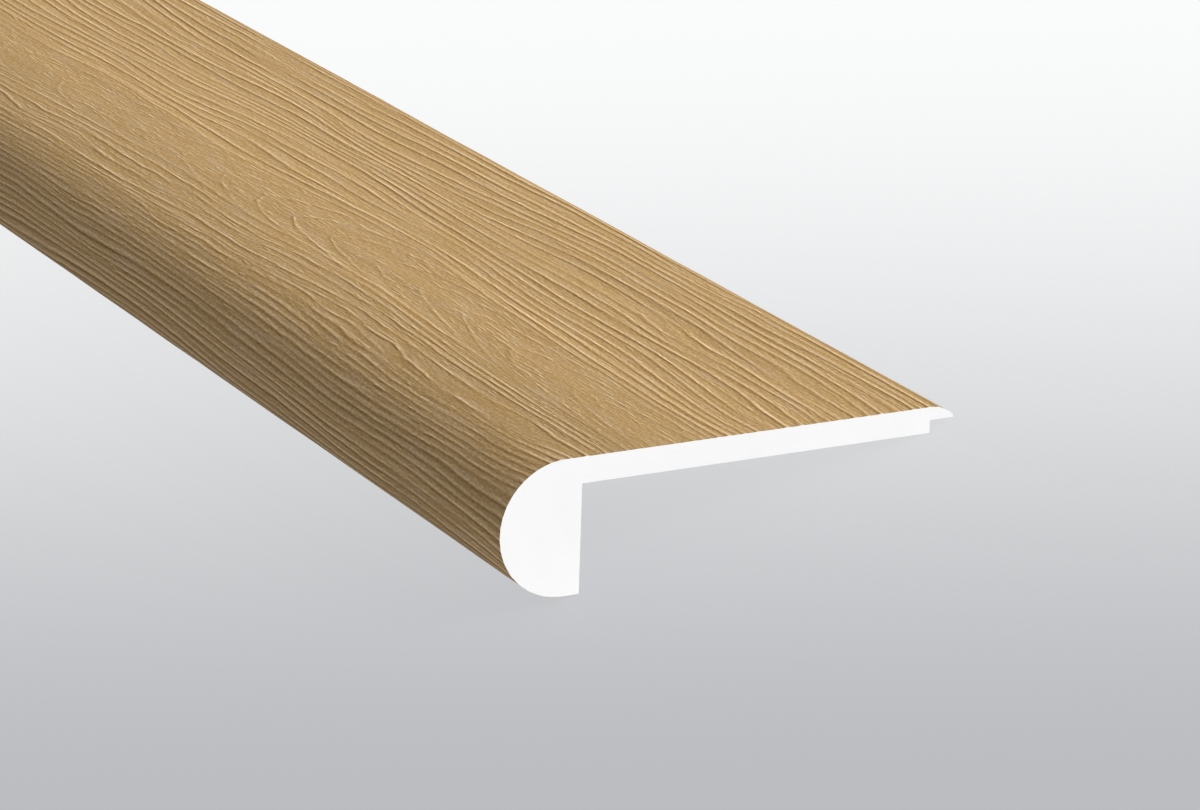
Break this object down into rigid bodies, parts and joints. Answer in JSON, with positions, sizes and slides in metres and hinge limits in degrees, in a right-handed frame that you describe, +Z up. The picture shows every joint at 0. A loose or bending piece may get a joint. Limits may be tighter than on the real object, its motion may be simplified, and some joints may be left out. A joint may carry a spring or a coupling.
{
  "type": "overlapping stair nosing",
  "caption": "Straight length of stair edge trim: half-round nose, thin flange bedded on the tread and a crowned back lip that laps over the floor covering, with a wood-look face.",
  "frame": {"origin": "under the middle of the bounding box, on the surface that the nosing lies on", "axes": "+Y along the length, +Z up as it lies with its good face up, nose towards -X and lip towards +X"},
  "size_m": [0.0697, 2.3876, 0.0196],
  "materials": {
    "wood_look_vinyl": "satin film embossed with wood grain over the nose, tread face and lip; plain white vinyl on the underside and the sawn ends"
  },
  "bodies": {
    "root": {"stair_nosing": "wood_look_vinyl"}
  },
  "joints": []
}
